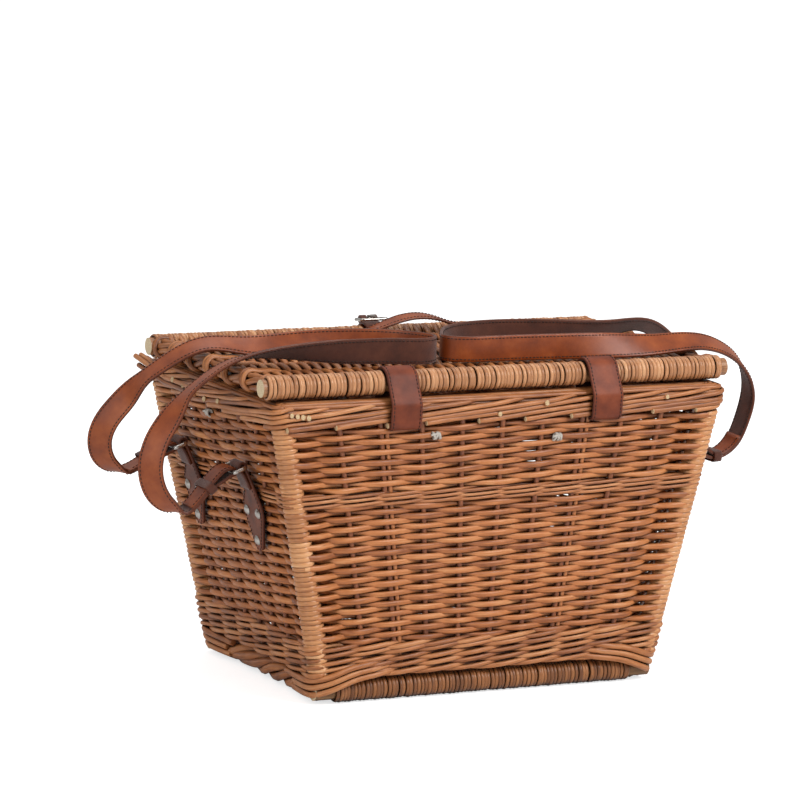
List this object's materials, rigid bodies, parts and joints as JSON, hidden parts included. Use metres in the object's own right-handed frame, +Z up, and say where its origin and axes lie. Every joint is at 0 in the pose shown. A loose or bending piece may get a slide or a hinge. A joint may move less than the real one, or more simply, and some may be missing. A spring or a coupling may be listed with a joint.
{
  "type": "picnic basket",
  "caption": "Willow picnic basket with leaning woven walls, a lid hinged in leather loops, long leather carrying straps on rings and a buckled closing strap.",
  "frame": {"origin": "on the floor under the middle of the basket", "axes": "+Z up, X along the basket from the left strap to the right strap, -Y towards the wall where the lid is hinged"},
  "size_m": [0.6382, 0.3001, 0.3226],
  "materials": {
    "willow_weave": "woven peeled willow rods, warm tan with a thin clear varnish",
    "willow_stick": "round willow sticks with pale cut ends",
    "willow_binding": "thin willow rods wound tightly round a stick, varnished",
    "leather": "smooth tan-brown strap leather with dark stitching and a suede back",
    "nickel": "nickel-plated steel",
    "paper": "off-white paper tie"
  },
  "bodies": {
    "basket": {"foot_wale": "willow_weave", "middle_wale": "willow_weave", "rim_border": "willow_weave", "corner_windings": "willow_weave", "corner_post_front_left": "willow_stick", "corner_post_back_left": "willow_stick", "corner_post_front_right": "willow_stick", "corner_post_back_right": "willow_stick", "stakes_front": "willow_stick", "stakes_back": "willow_stick", "stakes_left": "willow_stick", "stakes_right": "willow_stick", "weave_front": "willow_weave", "weave_back": "willow_weave", "weave_left": "willow_weave", "weave_right": "willow_weave", "hinge_loop_left": "leather", "hinge_loop_right": "leather", "catch_loop": "leather", "catch_rivets": "nickel", "floor_stick_front": "willow_stick", "floor_stick_back": "willow_stick", "floor_binding_front": "willow_binding", "floor_binding_back": "willow_binding", "floor_sticks_inner": "willow_stick", "floor_border_left": "willow_weave", "floor_border_right": "willow_weave", "floor_weave": "willow_weave", "strap_tab_left_front": "leather", "strap_tab_left_back": "leather", "strap_tab_right_front": "leather", "strap_tab_right_back": "leather", "tab_rivets": "nickel", "rivet_washers": "nickel", "paper_ties": "paper"},
    "lid": {"lid_stick_front": "willow_stick", "lid_stick_back": "willow_stick", "lid_binding_front": "willow_binding", "lid_binding_back": "willow_binding", "lid_sticks_inner": "willow_stick", "lid_border_left": "willow_weave", "lid_border_right": "willow_weave", "lid_weave": "willow_weave"},
    "left_handle": {"handle_strap_left": "leather", "strap_keepers_left": "leather", "strap_rings_left": "nickel"},
    "right_handle": {"handle_strap_right": "leather", "strap_keepers_right": "leather", "strap_rings_right": "nickel"},
    "closing_strap": {"closing_strap": "leather", "buckle_frame": "nickel"},
    "buckle_prong": {"buckle_prong": "nickel"}
  },
  "joints": [
    {"name": "lid_hinge", "type": "hinge", "parent": "basket", "child": "lid", "pos_m": [0, -0.1245, 0.2909], "axis": [1, 0, 0], "range_deg": [0, 105], "deforming": ["handle_strap_left", "handle_strap_right", "strap_keepers_left", "strap_keepers_right"]},
    {"name": "left_handle_swing", "type": "hinge", "parent": "basket", "child": "left_handle", "pos_m": [-0.22662, 0, 0.21194], "axis": [0, -1, 0], "range_deg": [0, 45]},
    {"name": "right_handle_swing", "type": "hinge", "parent": "basket", "child": "right_handle", "pos_m": [0.22662, 0, 0.21194], "axis": [0, 1, 0], "range_deg": [0, 45]},
    {"name": "closing_strap_swing", "type": "hinge", "parent": "lid", "child": "closing_strap", "pos_m": [-0.006, 0.1245, 0.2909], "axis": [-1, 0, 0], "range_deg": [0, 80]},
    {"name": "buckle_prong_swing", "type": "hinge", "parent": "closing_strap", "child": "buckle_prong", "pos_m": [-0.006, 0.13186, 0.30668], "axis": [-1, 0, 0], "range_deg": [0, 100]}
  ]
}
